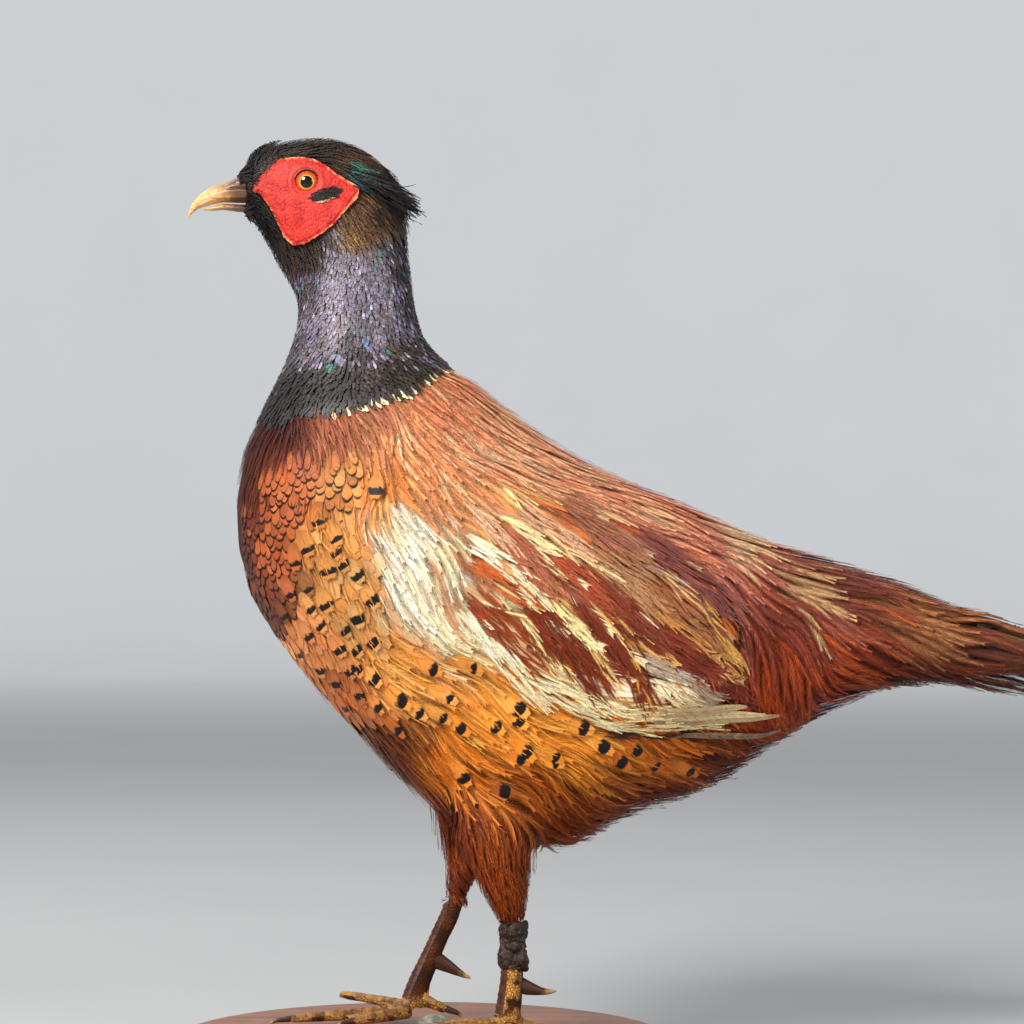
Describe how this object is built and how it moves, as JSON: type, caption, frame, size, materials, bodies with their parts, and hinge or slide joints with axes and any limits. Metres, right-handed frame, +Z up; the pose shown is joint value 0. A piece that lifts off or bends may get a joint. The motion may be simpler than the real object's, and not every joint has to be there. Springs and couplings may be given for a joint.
{
  "type": "taxidermy ring-necked pheasant",
  "caption": "Life-size mounted cock pheasant with a red face wattle, scaled copper breast and long pointed tail, standing on a round wooden base.",
  "frame": {"origin": "centre of the round base's underside", "axes": "+Z up; the bird faces -X and its tail points to +X; +Y is the bird's right"},
  "size_m": [0.8019, 0.262, 0.493],
  "materials": {
    "base_wood": "satin",
    "putty": "matte",
    "resin": "satin",
    "dark_plumage": "satin",
    "copper_plumage": "satin",
    "maroon_plumage": "satin",
    "wing_plumage": "satin",
    "flight_feathers": "satin",
    "tail_feathers": "satin",
    "horn": "satin",
    "glass_eye": "gloss",
    "red_skin": "matte",
    "scaled_leg": "satin"
  },
  "bodies": {
    "root": {"stand_base": "base_wood", "putty_right_foot": "putty", "head": "dark_plumage", "neck": "dark_plumage", "trunk": "copper_plumage", "rump": "maroon_plumage", "bill_upper": "horn", "bill_lower": "horn", "eye_left": "glass_eye", "wattle_left": "red_skin", "ear_tuft_left": "dark_plumage", "wing_left": "wing_plumage", "primaries_left": "flight_feathers", "thigh_left": "maroon_plumage", "shank_left": "scaled_leg", "spur_left": "scaled_leg", "tail_left_1": "tail_feathers", "tail_left_2": "tail_feathers", "tail_left_3": "tail_feathers", "tail_left_4": "tail_feathers", "tail_left_5": "tail_feathers", "tail_left_6": "tail_feathers", "toe_left_middle": "scaled_leg", "toe_left_inner": "scaled_leg", "toe_left_outer": "scaled_leg", "toe_left_hind": "scaled_leg", "claw_left_middle": "horn", "claw_left_inner": "horn", "claw_left_outer": "horn", "claw_left_hind": "horn", "eye_right": "glass_eye", "wattle_right": "red_skin", "ear_tuft_right": "dark_plumage", "wing_right": "wing_plumage", "primaries_right": "flight_feathers", "thigh_right": "maroon_plumage", "shank_right": "scaled_leg", "spur_right": "scaled_leg", "tail_right_1": "tail_feathers", "tail_right_2": "tail_feathers", "tail_right_3": "tail_feathers", "tail_right_4": "tail_feathers", "tail_right_5": "tail_feathers", "tail_right_6": "tail_feathers", "toe_right_middle": "scaled_leg", "toe_right_inner": "scaled_leg", "toe_right_outer": "scaled_leg", "toe_right_hind": "scaled_leg", "claw_right_middle": "horn", "claw_right_inner": "horn", "claw_right_hind": "horn", "resin_left_shank": "resin"}
  },
  "joints": []
}
